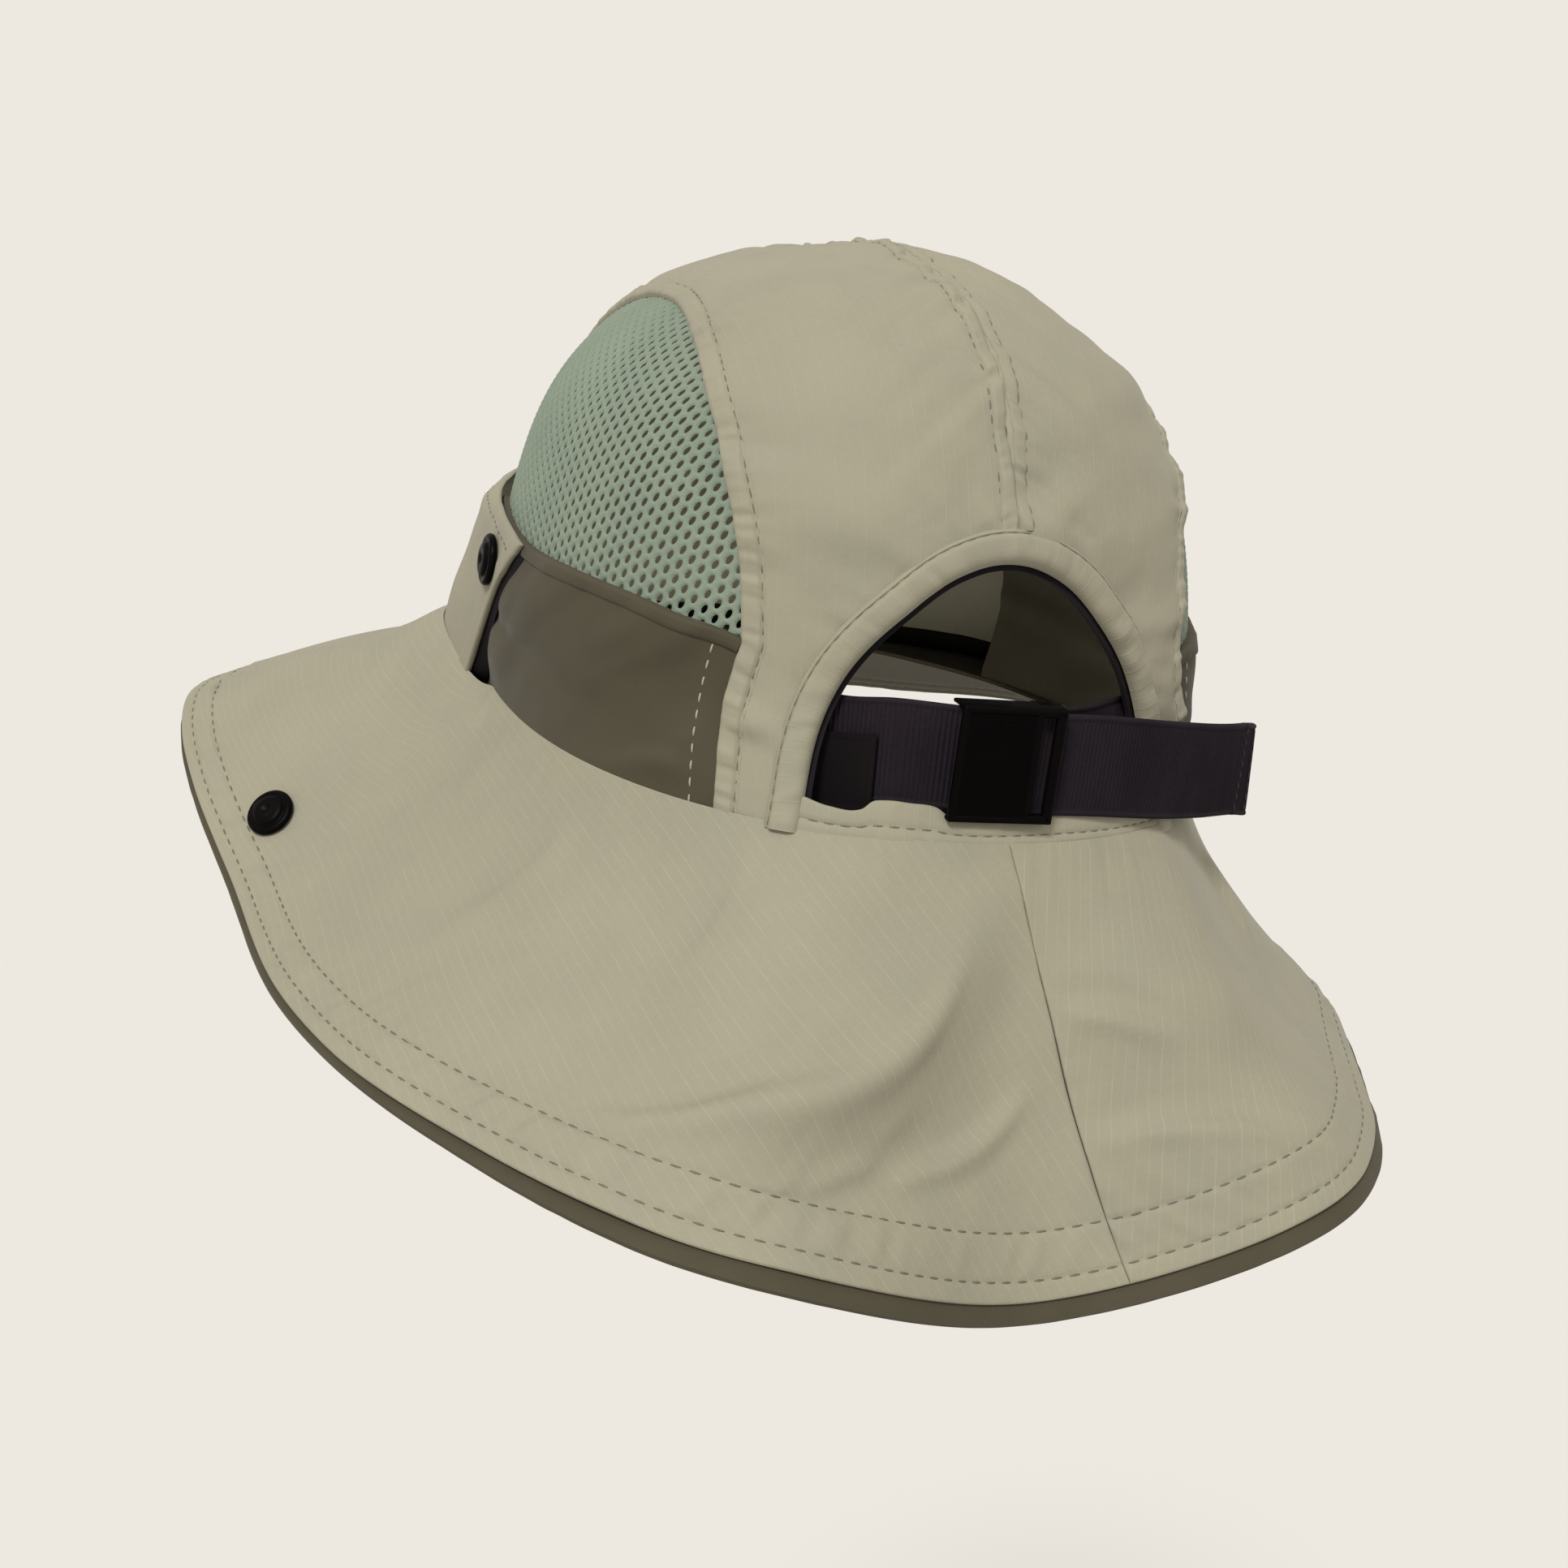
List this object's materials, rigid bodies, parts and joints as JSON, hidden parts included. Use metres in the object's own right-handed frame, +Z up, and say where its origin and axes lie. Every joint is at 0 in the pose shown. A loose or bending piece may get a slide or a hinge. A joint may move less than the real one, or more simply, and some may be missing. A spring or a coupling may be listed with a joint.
{
  "type": "flap hat",
  "caption": "Sun hat with a domed crown, mesh side panels, a rear opening with an adjusting strap and buckle, and a wide brim that drops into a neck flap.",
  "frame": {"origin": "centre of the crown's base, in the plane where the crown meets the brim and the hat sits on a head", "axes": "+Z up through the crown, front of the hat at -Y and rear opening at +Y, wearer's left at +X"},
  "size_m": [0.3002, 0.3338, 0.2056],
  "materials": {
    "khaki_cloth": "matt plain-weave nylon",
    "khaki_ripstop": "matt ripstop nylon",
    "brown_cloth": "matt plain-weave nylon",
    "side_mesh": "knitted mesh",
    "grey_tape": "matt woven tape",
    "grey_webbing": "ribbed webbing",
    "woven_label": "fine woven tab",
    "black_plastic": "moulded, satin",
    "black_snap": "satin enamel"
  },
  "bodies": {
    "root": {"crown_left": "khaki_cloth", "crown_right": "khaki_cloth", "mesh_left": "side_mesh", "mesh_right": "side_mesh", "side_left": "brown_cloth", "side_right": "brown_cloth", "brim_top_left": "khaki_ripstop", "brim_top_right": "khaki_ripstop", "brim_under": "brown_cloth", "arch_binding": "khaki_cloth", "arch_facing": "grey_tape", "rear_band": "khaki_cloth", "strap_main": "grey_webbing", "strap_stub": "grey_webbing", "strap_label": "woven_label", "buckle": "black_plastic", "brim_snap_left": "black_snap", "brim_snap_right": "black_snap", "crown_snap_left": "black_snap", "crown_snap_right": "black_snap"}
  },
  "joints": []
}
